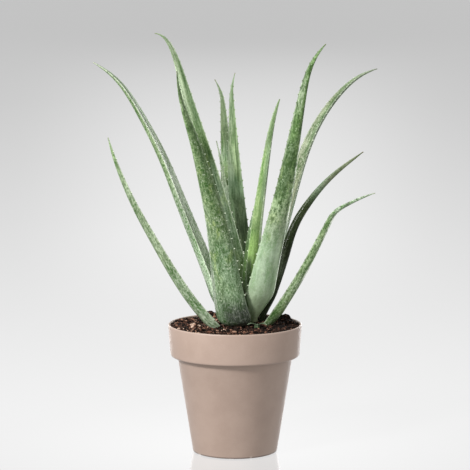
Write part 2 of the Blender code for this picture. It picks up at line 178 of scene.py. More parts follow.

# The look of a leaf. A share runs from 0 at its root to 1 at its tip, and a side is -1 or 1. outer and inner
# are the colours of its lower and of its channelled upper face, each from a share of its length. sides are
# tints of one side, partly the leaf's own colour and partly painted light and shade where that side faces
# the
# key light or is turned from it: the side, the colour, its strength, and the shares between which it lies.
# strips are narrower, partly the leaf's own colour and partly painted highlights and shade along its
# contours:
# the side, the colour, how far out from the leaf's middle, at 0, towards the margin, at 1, the strip starts,
# and the shares. bands is how dark a band of painted shade inside each margin is, rims how pale the margins
# are, both for side -1 first, and rim_width their width in millimetres. Below the share calm, grain and
# mottles are faint. streaks, grain, mottles, flecks, warm and dry are how strong the lengthwise streaks, the
# fine grain, the dark mottles, the pale flecks, the yellow-green patches and the dead tip are, and shine is
# how much the wax mirrors.
LeafLook = namedtuple(
    "LeafLook",
    "outer inner sides strips bands rims rim_width calm streaks grain mottles flecks warm dry shine",
)
PLAIN_LOOK = LeafLook(
    outer=((0.05, SAGE), (0.5, MID_GREEN), (0.9, FRESH_GREEN)),
    inner=((0.05, LEAF_GREEN), (0.5, MID_GREEN), (0.9, FRESH_GREEN)),
    sides=(),
    strips=(),
    bands=(0.0, 0.0),
    rims=(0.25, 0.25),
    rim_width=0.8,
    calm=0.0,
    streaks=0.8,
    grain=1.0,
    mottles=0.4,
    flecks=0.3,
    warm=0.3,
    dry=0.4,
    shine=0.35,
)
LOOKS = {
    "leaf_01": dict(
        outer=(
            (0.02, SHADE_GREEN), (0.06, LEAF_GREEN), (0.11, SOFT_SAGE), (0.2, SAGE), (0.78, SAGE),
            (0.95, FRESH_GREEN),
        ),
        sides=(
            (-1, PALEST_SAGE, 0.9, 0.66, 0.9), (1, PALEST_SAGE, 0.6, 0.13, 0.24),
            (1, SOFT_SAGE, 0.6, 0.25, 0.4),
        ),
        strips=((-1, NIGHT_GREEN, -0.1, 0.0, 0.24), (-1, MID_GREEN, -0.25, 0.26, 0.6)),
        rims=(0.1, 0.4), streaks=1.0, grain=1.2, mottles=0.8, flecks=0.5, warm=0.1,
    ),
    # Its grey strips and grey upper face are partly its waxy bloom and partly a painted sheen.
    "leaf_02": dict(
        outer=((0.05, PALEST_SAGE), (0.25, PALE_SAGE), (0.42, SOFT_SAGE), (0.55, MID_GREEN)),
        inner=(
            (0.2, GREY), (0.3, ASH), (0.54, ASH), (0.62, GRASS_GREEN), (0.78, SHADE_GREEN),
            (0.9, LEAF_GREEN),
        ),
        strips=(
            (-1, GREY, 0.1, 0.03, 0.36), (-1, GREY, 0.2, 0.36, 0.58), (-1, SOFT_SAGE, 0.2, 0.58, 0.72),
            (-1, PALEST_SAGE, 0.2, 0.73, 0.84),
        ),
        rims=(0.4, 0.6), grain=1.4, warm=0.05,
    ),
    # The dark band inside its right margin and its dark foot are painted shade, and its pale grey strips on
    # the left are a painted highlight from the key light.
    "leaf_03": dict(
        outer=(
            (0.025, FOOT_SHADE), (0.06, FOOT_BLUE), (0.11, FOOT_BLUE), (0.18, GRASS_GREEN),
            (0.27, LEAF_GREEN), (0.4, MID_GREEN), (0.82, FRESH_GREEN),
        ),
        sides=(
            (1, BLUE_SAGE, 0.9, 0.12, 0.34), (1, GRASS_GREEN, 0.35, 0.38, 0.72),
            (-1, BLUE_SAGE, 0.8, 0.04, 0.2), (-1, SOFT_SAGE, 0.3, 0.25, 0.5),
            (1, FOOT_SHADE, 0.7, 0.0, 0.1),
        ),
        strips=((-1, GREY, 0.62, 0.3, 0.55), (-1, ASH, 0.5, 0.1, 0.24)),
        bands=(0, 0.6), rims=(1.0, 0.15), rim_width=1.1, streaks=0.6, grain=1.3, mottles=1.0, flecks=0.8,
        warm=0.7,
    ),
    # Its dark band on side -1 is painted shade cast by leaf_03, its deep green lower part is painted shade
    # between leaf_03 and leaf_07, and its mint tint is a painted sheen.
    "leaf_04": dict(
        inner=(
            (0.18, DEEP_GREEN), (0.28, CLOUDY_GREEN), (0.36, DEEP_GREEN), (0.54, DEEP_GREEN),
            (0.63, FRESH_GREEN), (0.8, FRESH_GREEN), (0.9, SAGE),
        ),
        sides=((1, MINT, 0.85, 0.6, 0.84), (-1, LEAF_GREEN, 0.9, 0.62, 0.84)),
        strips=((-1, CLOUDY_GREEN, 0.45, 0.28, 0.5),),
        bands=(0.4, 0), rims=(0.35, 0.1), grain=0.7, mottles=0.2, flecks=0.1, shine=0.2,
    ),
    "leaf_05": dict(
        inner=((0.59, DEEP_GREEN), (0.65, BRIGHT_GREEN), (0.7, PALE_SAGE), (0.76, MID_GREEN), (0.92, SAGE)),
        sides=((1, BRIGHT_GREEN, 0.6, 0.72, 0.9), (-1, GRASS_GREEN, 0.7, 0.84, 0.98)),
        grain=0.6, dry=0.8,
    ),
    "leaf_06": dict(
        inner=(
            (0.22, BLUE_GREEN), (0.31, FRESH_GREEN), (0.39, DEEP_GREEN), (0.5, SHADE_GREEN),
            (0.58, BLUE_GREEN), (0.63, BRIGHT_GREEN), (0.7, BRIGHT_GREEN), (0.76, MID_GREEN),
            (0.9, LEAF_GREEN),
        ),
        sides=(
            (1, PALE_SAGE, 0.5, 0.56, 0.7), (1, SAGE, 0.6, 0.74, 0.95), (-1, DEEP_GREEN, 0.7, 0.25, 0.36),
        ),
        strips=((-1, GRASS_GREEN, 0.35, 0.58, 0.95), (1, LEAF_GREEN, 0.3, 0.34, 0.5)),
        rims=(0.1, 0.2), streaks=1.2, grain=0.4, mottles=0.1, flecks=0.05, warm=0.1, dry=0.9,
    ),
    # Its lime greens are partly the young leaf's own colour and partly painted light shining through it.
    "leaf_07": dict(
        outer=((0.25, LEAF_GREEN), (0.5, SAGE), (0.65, SOFT_SAGE), (0.78, MINT)),
        inner=(
            (0.05, SHADE_GREEN), (0.14, LIME), (0.29, LIME), (0.38, YOUNG_GREEN), (0.54, YOUNG_GREEN),
            (0.67, BRIGHT_GREEN), (0.77, LEAF_GREEN), (0.92, GRASS_GREEN),
        ),
        sides=(
            (1, DEEP_GREEN, 0.9, 0.08, 0.2), (1, YOUNG_SAGE, 0.8, 0.4, 0.76),
            (1, MID_GREEN, 0.8, 0.76, 1.0), (-1, GRASS_GREEN, 0.7, 0.74, 0.95),
            (-1, LEAF_GREEN, 0.9, 0.5, 0.74),
        ),
        strips=((-1, MINT, 0.9, 0.12, 0.55), (1, DEEP_GREEN, 0.4, 0.1, 0.22)),
        rims=(0.1, 0.2), streaks=0.5, grain=0.5, mottles=0.05, flecks=0.1, warm=0.1, shine=0.25,
    ),
    # Its near-white strips and the strong pale rim on side 1 are a painted highlight along its right
    # contour.
    "leaf_08": dict(
        outer=(
            (0.0, OLIVE), (0.06, SAGE), (0.17, PALE_SAGE), (0.28, PALE_SAGE), (0.36, SAGE),
            (0.48, FRESH_GREEN), (0.57, MOSS_GREEN),
        ),
        strips=(
            (-1, SHADE_GREEN, 0.3, 0.46, 0.64), (-1, SAGE, 0.4, 0.75, 0.85), (-1, SAGE, 0.97, 0.6, 0.84),
            (1, CLOUDY_GREEN, 0.45, 0.24, 0.33), (1, PAINTED_HIGHLIGHT, 0.66, 0.05, 0.36),
            (1, PAINTED_HIGHLIGHT, 0.4, 0.38, 0.62), (1, FRESH_GREEN, 0.88, 0.03, 0.68),
        ),
        rims=(0.1, 1.0), rim_width=1.6, calm=0.36, streaks=0.3, grain=1.1, mottles=1.35, flecks=0.5,
    ),
    "leaf_09": dict(
        outer=(
            (0.15, SAGE), (0.3, PALEST_SAGE), (0.42, SOFT_SAGE), (0.56, SOFT_SAGE), (0.66, PALEST_SAGE),
            (0.77, CLOUDY_GREEN), (0.92, MID_GREEN),
        ),
        inner=((0.5, DULL_GREEN), (0.62, SAGE), (0.74, GRASS_GREEN), (0.92, MID_GREEN)),
        sides=((-1, SHADE_GREEN, 0.7, 0.5, 0.8), (1, DULL_GREEN, 0.7, 0.45, 0.8)),
        rims=(0.5, 0.3), mottles=0.5, flecks=0.8, warm=0.1,
    ),
    # It stands in the shade of leaf_08, and its near-black greens are painted shade.
    "leaf_10": dict(
        outer=(
            (0.4, BLACK_GREEN), (0.62, NIGHT_GREEN), (0.71, CLOUDY_GREEN), (0.8, DULL_GREEN), (0.92, OLIVE),
        ),
        inner=((0.4, BLACK_GREEN), (0.62, NIGHT_GREEN), (0.74, CLOUDY_GREEN), (0.9, DULL_GREEN)),
        rims=(0.0, 0.0), streaks=0.6, grain=0.5, mottles=0.2, flecks=0.05, warm=0.0, dry=0.8, shine=0.05,
    ),
    # Its near-white and mint strips on side 1 are a painted highlight along its right contour.
    "leaf_11": dict(
        outer=(
            (0.08, SHADE_GREEN), (0.2, GRASS_GREEN), (0.32, MID_GREEN), (0.7, FRESH_GREEN),
            (0.82, PALEST_SAGE),
        ),
        sides=((1, NIGHT_GREEN, 0.6, 0.1, 0.24),),
        strips=(
            (1, PAINTED_HIGHLIGHT, -0.35, 0.38, 0.49), (1, MINT, -0.35, 0.5, 0.62), (1, PAINTED_HIGHLIGHT, -0.5, 0.64, 0.8),
            (1, MID_GREEN, 0.12, 0.34, 0.86),
        ),
        rims=(0.3, 0.6), grain=1.4, mottles=0.9, flecks=0.9, warm=0.4,
    ),
    "leaf_12": dict(
        inner=((0.55, FRESH_GREEN), (0.68, PALEST_SAGE), (0.8, MINT)),
        mottles=0.2, flecks=0.1,
    ),
    # Its near-black lower part is painted shade deep among the older leaves.
    "leaf_13": dict(
        outer=((0.1, BLACK_GREEN), (0.3, DEEP_GREEN), (0.8, LEAF_GREEN)),
        inner=(
            (0.18, BLACK_GREEN), (0.28, DEEP_GREEN), (0.4, GRASS_GREEN), (0.54, GRASS_GREEN),
            (0.7, LEAF_GREEN),
        ),
        rims=(0.6, 0.1), streaks=0.5, grain=0.6, mottles=0.3, flecks=0.05, warm=0.0, shine=0.1,
    ),
    "pup": dict(
        outer=((0.2, SHADE_GREEN), (0.8, CLOUDY_GREEN)),
        inner=((0.2, SHADE_GREEN), (0.8, CLOUDY_GREEN)),
        rims=(0.1, 0.1), mottles=0.6, warm=0.0,
    ),
}


def smooth_step(x):
    """0 below 0, 1 above 1 and an even S between them."""
    x = min(max(x, 0.0), 1.0)
    return x * x * (3 - 2 * x)


def along(values, share):
    """The value at a share of the way through evenly spaced values, on one smooth curve through them."""
    place = min(max(share, 0.0), 1.0) * (len(values) - 1)
    i = min(int(place), len(values) - 2)
    t = place - i
    before = values[max(i - 1, 0)]
    start = values[i]
    end = values[i + 1]
    after = values[min(i + 2, len(values) - 1)]
    slope_in = (end - before) / 2
    slope_out = (after - start) / 2
    return (
        start * (2 * t**3 - 3 * t**2 + 1)
        + slope_in * (t**3 - 2 * t**2 + t)
        + end * (3 * t**2 - 2 * t**3)
        + slope_out * (t**3 - t**2)
    )


# Shader maths


class Value:
    """A number that a material works out. Python's operators on it add Math nodes."""

    def __init__(self, finish, socket):
        self.finish = finish
        self.socket = socket

    def math(self, operation, first, second=0.5):
        node = self.finish.add("Math", {"operation": operation}, {0: first, 1: second})
        return Value(self.finish, node.outputs[0])

    def __add__(self, other):
        return self.math("ADD", self, other)

    def __radd__(self, other):
        return self.math("ADD", other, self)

    def __sub__(self, other):
        return self.math("SUBTRACT", self, other)

    def __rsub__(self, other):
        return self.math("SUBTRACT", other, self)

    def __mul__(self, other):
        return self.math("MULTIPLY", self, other)

    def __rmul__(self, other):
        return self.math("MULTIPLY", other, self)

    def __truediv__(self, other):
        return self.math("DIVIDE", self, other)

    def __rtruediv__(self, other):
        return self.math("DIVIDE", other, self)

    def __abs__(self):
        return self.math("ABSOLUTE", self)


class Finish:
    """A material, or the surround, in the making."""

    def __init__(self, owner, shader="Principled BSDF"):
        self.owner = owner
        owner.use_nodes = True
        self.tree = owner.node_tree
        self.shader = self.tree.nodes[shader]

    def add(self, kind, settings=None, sockets=None):
        """A new node with its settings made first, then its sockets filled with values or links."""
        node = self.tree.nodes.new("ShaderNode" + kind)
        self.set_up(node, settings or {})
        self.fill(node, sockets or {})
        return node

    def set_up(self, node, settings):
        for name, value in settings.items():
            if name != "stops":
                setattr(node, name, value)
                continue
            elements = node.color_ramp.elements
            while len(elements) < len(value):
                elements.new(1.0)
            for element, (position, colour) in zip(elements, value):
                element.position = position
                element.color = (*colour, 1)

    def fill(self, node, sockets):
        for name, value in sockets.items():
            socket = node.inputs[name]
            if isinstance(value, Value):
                self.tree.links.new(value.socket, socket)
            elif socket.type == "RGBA" and len(value) == 3:
                socket.default_value = (*value, 1)
            else:
                socket.default_value = value

    def out(self, node, name=0):
        return Value(self, node.outputs[name])

    def split(self, place):
        node = self.add("SeparateXYZ", {}, {0: place})
        return [self.out(node, i) for i in range(3)]

    def place(self):
        """The place on the object."""
        return self.out(self.add("TexCoord"), "Object")

    def parts(self, name):
        """The three numbers of a named attribute of the mesh."""
        return self.split(self.out(self.add("Attribute", {"attribute_name": name}), "Vector"))

    def vector(self, x, y, z):
        return self.out(self.add("CombineXYZ", {}, {0: x, 1: y, 2: z}))

    def noise(self, place, scale, detail=2.0, roughness=0.5):
        sockets = {"Vector": place, "Scale": scale, "Detail": detail, "Roughness": roughness}
        return self.out(self.add("TexNoise", {}, sockets), 0)

    def cells(self, place, scale):
        """Distance from the nearest of scattered points, and a number from 0 to 1 that each point draws."""
        node = self.add("TexVoronoi", {}, {"Vector": place, "Scale": scale})
        drawn = self.add("SeparateColor", {}, {0: self.out(node, "Color")})
        return self.out(node, "Distance"), self.out(drawn)

    def fade(self, value, start, end):
        """0 where value is start, 1 where it is end, and an even S between them."""
        settings = {"interpolation_type": "SMOOTHSTEP"}
        return self.out(self.add("MapRange", settings, {0: value, 1: start, 2: end, 3: 0.0, 4: 1.0}))

    def within(self, value, start, end, outside, inside):
        """1 from start to end, with fades that reach from a little inside to a little outside of them."""
        rise = self.fade(value, start - outside, start + inside)
        return rise * self.fade(value, end + outside, end - inside)

    def mix(self, share, first, second, blend="MIX"):
        settings = {"data_type": "RGBA", "blend_type": blend}
        return self.out(self.add("Mix", settings, {0: share, 6: first, 7: second}), 2)

    def limited(self, value):
        """The value kept between 0 and 1."""
        return self.out(self.add("Clamp", {}, {0: value}))

    def scale(self, colour, factor):
        """A colour made lighter or darker."""
        return self.out(self.add("VectorMath", {"operation": "SCALE"}, {0: colour, "Scale": factor}))

    def ramp(self, value, stops):
        return self.out(self.add("ValToRGB", {"stops": stops}, {0: value}))

    def bump(self, height, distance, strength=1.0):
        sockets = {"Height": height, "Distance": distance, "Strength": strength}
        return self.out(self.add("Bump", {}, sockets))

    def surface(self, **sockets):
        """Fills the shader's sockets, named with _ for each space."""
        self.fill(self.shader, {name.replace("_", " "): value for name, value in sockets.items()})
        return self.owner


def new_finish(name):
    return Finish(bpy.data.materials.new(name))


# Skins of the leaves


def leaf_greens(finish, look, across, up, face, halves):
    """The greens along the leaf's two faces, with the tints of its sides and strips, partly painted light
    and shade.
    """
    outer = finish.ramp(up, look.outer)
    inner = finish.ramp(up, look.inner)
    colour = finish.mix(finish.fade(face, 0.4, 0.6), outer, inner)
    for side, tint, strength, start, end in look.sides:
        there = finish.within(up, start, end, 0.05, 0.04) * halves[side]
        colour = finish.mix(there * strength, colour, tint)
    for side, tint, distance, start, end in look.strips:
        beyond = finish.fade(across * float(side), distance - 0.08, distance + 0.05)
        colour = finish.mix(finish.within(up, start, end, 0.04, 0.03) * beyond, colour, tint)
    return colour


def waxy_skin(name, look, seed):
    """A leaf's skin: green with streaks, mottles, pale flecks, fine grain, pale margins and teeth, and
    painted shade.
    """
    finish = new_finish(name + "_skin")
    across, up, face = finish.parts("leaf_share")
    wide, long, edge = finish.parts("leaf_place")
    tooth = finish.parts("leaf_tooth")[0]
    here = float(seed) * 13.0
    halves = {-1: finish.fade(across, 0.3, -0.5), 1: finish.fade(across, -0.3, 0.5)}

    def cloud(crosswise, lengthwise, layer, detail, roughness=0.5):
        """A noise that is each layer's own, with so many waves to a millimetre across and along the leaf."""
        place = finish.vector(wide * crosswise, long * lengthwise, here + layer)
        return finish.noise(place, 1.0, detail, roughness)

    def on_margins(strengths):
        """A strength for each side of the leaf, the one at -1 first."""
        return halves[-1] * strengths[0] + halves[1] * strengths[1]

    streak = cloud(0.8, 0.05, 0.0, 3.0, 0.6)
    broad = cloud(0.12, 0.03, 5.0, 2.0)
    hue = cloud(0.16, 0.06, 3.0, 3.0, 0.6)
    patch = cloud(0.32, 0.13, 9.0, 4.0, 0.7)
    fine = cloud(0.72, 0.44, 11.0, 2.0, 0.7)
    crowd = cloud(0.08, 0.06, 7.0, 1.0)

    colour = leaf_greens(finish, look, across, up, face, halves)
    warm = finish.fade(hue, 0.52, 0.66) * finish.fade(up, 0.8, 0.5) * finish.fade(up, 0.08, 0.34)
    colour = finish.mix(warm * (look.warm * 0.8), colour, WARM_COLOUR)

    liveliness = finish.fade(up, look.calm - 0.1, look.calm + 0.08) * 0.75 + 0.25
    grain = (streak - 0.5) * (2.1 * look.streaks) + (fine - 0.5) * (2.4 * look.grain)
    tone = grain * liveliness + (broad - 0.5) * 1.3
    colour = finish.mix(finish.limited(tone * -1.9), colour, DARK_TINT, "MULTIPLY")
    lighter = finish.limited(tone)
    evened = 1.06 + 0.14 * look.mottles - 0.06 * look.flecks
    colour = finish.scale(colour, (1.0 + lighter * 1.2) * evened)
    colour = finish.mix(lighter * 0.3, colour, BLOOM_COLOUR)

    # Painted shade: a dark band inside the margins, as strong as the look's bands.
    near_edge = finish.fade(edge, 7.0, 1.5) * finish.fade(up, 0.05, 0.3)
    shade_band = near_edge * on_margins(look.bands)
    colour = finish.mix(shade_band * 0.6, colour, MOTTLE_AND_SHADE_COLOUR)
    blotch = finish.fade(patch + fine * 0.3, 0.63, 0.76) * finish.fade(up, -0.05, 0.2) * liveliness
    colour = finish.mix(blotch * (look.mottles * 0.7), colour, MOTTLE_AND_SHADE_COLOUR)

    speck, drawn = finish.cells(finish.vector(wide * 0.78, long * 0.42, here), 1.0)
    reach = finish.fade(crowd, 0.3, 0.62) * look.flecks * 0.36
    flecks = finish.fade(speck - reach * (0.3 + drawn), 0.08, -0.02) * finish.fade(drawn, 0.1, 0.3)
    flecks = flecks * finish.fade(up, 0.02, 0.12) * finish.fade(up, 0.99, 0.93)
    colour = finish.mix(flecks * 0.75, colour, FLECK_COLOUR)

    rim = finish.fade(edge, look.rim_width * 1.5, look.rim_width * 0.5) * (0.4 + fine)
    colour = finish.mix(rim * on_margins(look.rims), colour, RIM_COLOUR)
    colour = finish.mix(finish.fade(tooth, 0.25, 0.6), colour, TOOTH_COLOUR)
    dead = finish.fade(up + patch * 0.04, 1.0, 1.025) * look.dry
    return finish.surface(
        Base_Color=finish.mix(dead, colour, DRY_BROWN),
        Roughness=0.38 + fine * 0.12 + streak * 0.1,
        Normal=finish.bump(streak * 0.5 + flecks * 0.35 + fine * 0.35, 0.35 * MM, 0.6),
        Specular_IOR_Level=look.shine,
    )


# Meshes


def new_mesh(*layers):
    """An empty mesh with named vectors on its points."""
    mesh = bmesh.new()
    for layer in layers:
        mesh.verts.layers.float_vector.new(layer)
    return mesh


def join_rings(mesh, rings):
    """Faces from each ring of points to the next. A ring may also be one point, repeated."""
    for low, high in zip(rings, rings[1:]):
        for i in range(len(low)):
            j = (i + 1) % len(low)
            corners = dict.fromkeys((low[i], low[j], high[j], high[i]))
            mesh.faces.new(tuple(corners))


def close_ends(mesh, rings):
    """A face over the first and one over the last ring."""
    mesh.faces.new(reversed(rings[0]))
    mesh.faces.new(rings[-1])


def finished_mesh(name, mesh):
    data = bpy.data.meshes.new(name)
    mesh.to_mesh(data)
    mesh.free()
    return data


def new_object(name, data):
    made = bpy.data.objects.new(name, data)
    bpy.context.scene.collection.objects.link(made)
    return made


def add_piece(name, mesh, material, stands_for=None, sharp=50):
    """A piece of the plant or its pot, in place of a node of the frame."""
    data = finished_mesh(name, mesh)
    data.materials.append(material)
    data.shade_smooth()
    data.set_sharp_from_angle(angle=math.radians(sharp))
    piece = new_object(name, data)
    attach(piece, "root")
    if stands_for:
        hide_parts(stands_for)
    return piece


# Leaves


def leaf_root(leaf):
    """Where the leaf's centre line leaves the stem."""
    radius, height = WHORLS[leaf.whorl]
    turn = math.radians(leaf.root_azimuth)
    centre = Vector((PLANT_X, PLANT_Y, PLANT_Z))
    return centre + MM * Vector((radius * math.cos(turn), radius * math.sin(turn), height))


def leaf_frame(leaf, share):
    """The leaf's directions at a share of its length: sideways, out of its upper face, and along it."""
    turn = math.radians(leaf.azimuth + leaf.swing * share)
    lean = math.radians(along(leaf.leans, share))
    outward = Vector((math.cos(turn), math.sin(turn), 0))
    rising = outward * math.sin(lean) + Vector((0, 0, math.cos(lean)))
    sideways = Vector((-math.sin(turn), math.cos(turn), 0))
    bend = math.radians(leaf.hook) * smooth_step((share - HOOK_START) / (1 - HOOK_START))
    ahead = rising * math.cos(bend) + sideways * math.sin(bend)
    across = sideways * math.cos(bend) - rising * math.sin(bend)
    return across, ahead.cross(across), ahead


def leaf_line(leaf, root):
    """Points of the leaf's centre line at even steps, walked from its root."""
    step = leaf.length * MM / LEAF_LINE_STEPS
    points = [root]
    for i in range(LEAF_LINE_STEPS):
        points.append(points[-1] + leaf_frame(leaf, (i + 0.5) / LEAF_LINE_STEPS)[2] * step)
    return points


def on_line(line, share):
    """The point of the centre line at a share of its length."""
    place = min(max(share, 0.0), 1.0) * LEAF_LINE_STEPS
    i = min(int(place), LEAF_LINE_STEPS - 1)
    return line[i].lerp(line[i + 1], place - i)


def leaf_size(leaf, share):
    """Half width, depth below the margins and depth of the channel at a share of the leaf's length."""
    heel = smooth_step(share * leaf.length / leaf.foot)
    rest = 1 - share
    half_width = leaf.width / 2 * (leaf.heel + (1 - leaf.heel) * heel) * rest**leaf.taper
    heel_depth = HEEL_DEPTH_SHARE + (1 - HEEL_DEPTH_SHARE) * heel
    channel = leaf.channel * heel_depth * rest**CHANNEL_TAPER
    depth = leaf.depth * heel_depth * rest**DEPTH_TAPER
    half_width = max(half_width * MM, TIP_WIDTH / 2)
    return half_width, max(depth * MM, channel * MM + LEAST_THICKNESS), channel * MM


def tooth_places(leaf, draw):
    """Lengths along one margin at which it has a tooth, each with the tooth's size as a share."""
    places = []
    place = FIRST_TOOTH + draw.uniform(0, TOOTH_SPACING)
    while place < leaf.length - TIP_WITHOUT_TEETH:
        closer = 1 - TOOTH_SHRINKING * place / leaf.length
        places.append((place, closer * draw.uniform(*TOOTH_SIZES)))
        place += TOOTH_SPACING * closer * draw.uniform(*TOOTH_GAPS)
    return places


def tooth_reach(teeth, place):
    """How far the margin stands out at a length along the leaf, in millimetres."""
    reach = 0.0
    for middle, size in teeth:
        away = (place - middle) / (TOOTH_HALF_BASE * size)
        if -1 < away < 1:
            reach = max(reach, TOOTH_HEIGHT * size * (1 - abs(away)) ** TOOTH_SHARPNESS)
    return reach


def ring_places(leaf, margins):
    """Lengths along the leaf at which its skin has a ring, with several at each tooth."""
    places = [0.0]
    while places[-1] < leaf.length - LAST_RING_GAP:
        widening = smooth_step((leaf.length - places[-1]) / TIP_SPACING_LENGTH)
        spacing = RING_SPACING * (TIP_SPACING_SHARE + (1 - TIP_SPACING_SHARE) * widening)
        places.append(min(places[-1] + spacing, leaf.length))
    for teeth in margins:
        for middle, size in teeth:
            places += [middle + TOOTH_HALF_BASE * size * step for step in TOOTH_RINGS]
    places.sort()
    kept = [places[0]]
    for place in places[1:]:
        if place - kept[-1] > LEAST_RING_GAP and place <= leaf.length:
            kept.append(place)
    return kept


def ring_angles():
    """Angles round the leaf, close together at its margins, which lie a quarter turn either way."""
    half = list(RIM_ANGLES) + [180 - angle for angle in reversed(RIM_ANGLES[1:-1])]
    return [math.radians(angle + start) for start in (-90, 90) for angle in half]


def skin_wave(beside, place, lower, seed):
    """How far a faint wave lifts the skin, from -1 to 1. Each face of each leaf has its own."""
    return noise.noise(Vector((beside * 3.1 + (0 if lower else 9), place / SKIN_WAVE_LENGTH, seed * 4.7)))


def add_ring(mesh, leaf, line, place, margins, seed):
    """One ring of points round the leaf at a length along it, with what its material reads."""
    shares, places, spikes = [mesh.verts.layers.float_vector[name] for name in LEAF_LAYERS]
    share = place / leaf.length
    across, upper, ahead = leaf_frame(leaf, share)
    half_width, depth, channel = leaf_size(leaf, share)
    centre = on_line(line, share)
    stand = [tooth_reach(teeth, place) for teeth in margins]
    wave_size = SKIN_WAVE * smooth_step(half_width / SKIN_WAVE_HALF_WIDTH)
    angles = ring_angles()
    ring = []
    for number, angle in enumerate(angles):
        below = math.cos(angle)
        beside = math.sin(angle)
        lower = number < len(angles) // 2
        bulge = depth if lower else channel
        height = -depth * below if lower else -channel * abs(below) ** CHANNEL_SHARPNESS
        height += skin_wave(beside, place, lower, seed) * wave_size * abs(below)
        edge = math.hypot(half_width * (1 - abs(beside)), bulge * below) / MM
        out = stand[beside > 0] * max(0.0, 1 - edge / TOOTH_HALF_THICKNESS) ** TOOTH_SHARPNESS
        point = centre + across * (half_width * beside + math.copysign(out * MM, beside))
        point += upper * height + ahead * out * TOOTH_SWEEP * MM
        corner = mesh.verts.new(point)
        wide = math.copysign(math.hypot(half_width, bulge) / MM - edge, beside)
        corner[shares] = (beside, share, 0.0 if lower else 1.0)
        corner[places] = (wide, place, edge)
        corner[spikes] = (out / TOOTH_HEIGHT, 0, 0)
        ring.append(corner)
    return ring


def add_blade(mesh, leaf, root, seed, has_teeth=True):
    """Adds one leaf's closed skin to a mesh."""
    draw = random.Random(seed)
    margins = [tooth_places(leaf, draw) if has_teeth else [] for _ in range(2)]
    line = leaf_line(leaf, root)
    rings = [add_ring(mesh, leaf, line, place, margins, seed) for place in ring_places(leaf, margins)]
    join_rings(mesh, rings)
    close_ends(mesh, rings)


def skin_for(name, seed):
    return waxy_skin(name, PLAIN_LOOK._replace(**LOOKS[name]), seed)


def add_leaves():
    """The thirteen leaves of the rosette."""
    for seed, leaf in enumerate(LEAVES, 1):
        mesh = new_mesh(*LEAF_LAYERS)
        add_blade(mesh, leaf, leaf_root(leaf), seed)
        add_piece(leaf.name + "_blade", mesh, skin_for(leaf.name, seed), leaf.name)


def add_pup():
    """The little offset at the plant's foot, three leaflets without teeth."""
    mesh = new_mesh(*LEAF_LAYERS)
    for seed, (azimuth, lean, length) in enumerate(PUP_LEAVES, PUP_SEED):
        leans = (0, lean, lean + PUP_BEND)
        leaflet = Leaf("pup", 0, 0, azimuth, 0, leans, length, **PUP_LEAFLET)
        add_blade(mesh, leaflet, PUP_ROOT, seed, has_teeth=False)
    add_piece("pup_blades", mesh, skin_for("pup", PUP_SEED), "pup")


# Stem

CROWN_RISE = 8.0 * MM
FIBRE_DARK = (0.13, 0.1, 0.05)
FIBRE_PALE = (0.36, 0.33, 0.2)


def dry_stem():
    """The dry fibrous skin of the short stem, green at its crown between the youngest leaves."""
    finish = new_finish("dry_stem")
    x, y, z = finish.split(finish.place())
    fibre = finish.noise(finish.vector(x * 900.0, y * 900.0, z * 180.0), 1.0, 3.0)
    shade = finish.fade(fibre, 0.35, 0.65)
    dry = finish.mix(shade, FIBRE_DARK, FIBRE_PALE)
    fresh = finish.mix(shade, SHADE_GREEN, FRESH_GREEN)
    return finish.surface(
        Base_Color=finish.mix(finish.fade(z, PLANT_Z, PLANT_Z + CROWN_RISE), dry, fresh),
        Roughness=0.7 + fibre * 0.2,
        Normal=finish.bump(fibre, 0.3 * MM),
    )


def finish_stem():
    """The stem keeps its solid and gets its skin."""
    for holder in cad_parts["stem"].material_slots:
        holder.material = dry_stem()


# Soil

SOIL_RADIUS = 57.6 * MM
SOIL_RINGS = 64
SOIL_SEGMENTS = 220

# The soil's sides from the pot's floor up: radius and height in millimetres.
SOIL_WALLS = ((35.3, 5.8), (48.8, 88.4), (55.2, 89.7), (57.2, 110.3))

# A low heap round the plant, lumps that are flatter near the pot's wall, and two sizes of grain.
HEAP_HEIGHT = 3.0 * MM
HEAP_RADIUS = 36.0 * MM
LUMP_SIZE = 7.0 * MM
LUMP_HEIGHT = 2.4 * MM
LUMPS_AT_WALL = 0.3
RIM_RADIUS = 60.0 * MM
WALL_MARGIN = 12.0 * MM
GRAIN_SIZE = 2.6 * MM
GRAIN_HEIGHT = 0.9 * MM
FINE_GRAIN_SIZE = 1.1 * MM
FINE_GRAIN_HEIGHT = 0.45 * MM
SPOT_SIZE = 1.6 * MM

# Painted shade on the soil: it is paler left of the first side, towards the key light, and darker right of
# the second, in millimetres. The two tones say how light each side is.
SOIL_LIT_SIDE = -15.0
SOIL_SHADED_SIDE = 45.0
SOIL_LIT_TONE = 1.05
SOIL_SHADED_TONE = 0.65

# Mounds with crumbs on them: place, spread and height in millimetres, and how light the crumbs are.
MOUNDS = (
    (46, 23, 9, 5.5, 0.16),
    (38, 33, 9, 5, 0.16),
    (52, 5, 7, 2.5, 0.2),
    (-22, 37, 8, 6, 0.45),
    (-37, -14, 5, 1.5, 1.15),
    (26, -12, 6, 2.5, 0.7),
)
MOUND_STEEPNESS = 2.2

# The crumbs. Those larger than FINE_CRUMB are drawn more finely, and MOUND_CRUMB_SIZES are in millimetres.
CRUMB_SEED = 71
CRUMB_COUNT = 5200
CRUMBS_A_MOUND = 70
CRUMB_EDGE = SOIL_RADIUS - 1.5 * MM
MOUND_CRUMB_EDGE = SOIL_RADIUS - 2 * MM
MOUND_CRUMB_SIZES = (0.8, 2.0)
SMALL_CRUMB = 0.5 * MM
LARGE_CRUMB = 1.9 * MM
FINE_CRUMB = 1.2 * MM
CRUMB_ROUGHNESS = 0.55
CRUMB_STRETCH = ((0.6, 1.5), (0.6, 1.2), (0.5, 0.9))
CRUMB_TILT = 0.5

